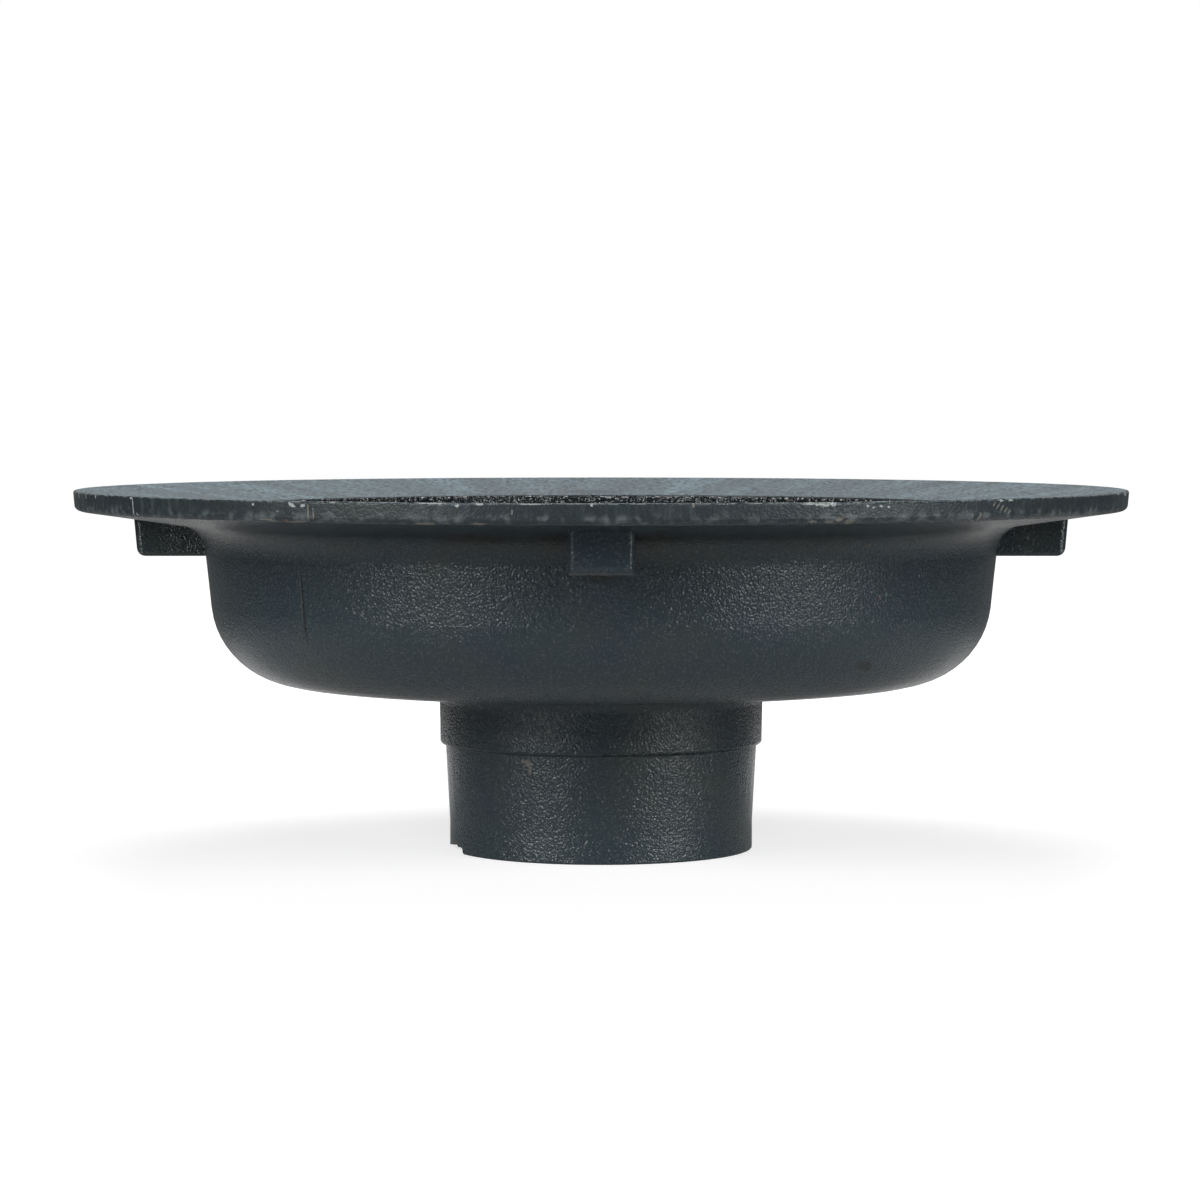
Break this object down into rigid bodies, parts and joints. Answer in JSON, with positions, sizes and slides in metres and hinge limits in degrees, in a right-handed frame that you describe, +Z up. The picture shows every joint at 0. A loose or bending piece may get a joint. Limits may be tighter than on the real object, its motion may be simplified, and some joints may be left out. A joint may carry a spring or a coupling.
{
  "type": "flat roof drain body",
  "caption": "Round cast-iron roof drain body with a wide dished flange, a shallow bowl, lugs under the flange and a short vertical outlet spigot.",
  "frame": {"origin": "centre of the spigot's lower end face, on the drain's axis", "axes": "+Z up along the drain's axis, +X and +Y through two of the four lugs"},
  "size_m": [0.3798, 0.3798, 0.1307],
  "materials": {
    "painted_casting": "satin blue-grey paint on rough sand-cast iron"
  },
  "bodies": {
    "root": {"drain_body": "painted_casting"}
  },
  "joints": []
}
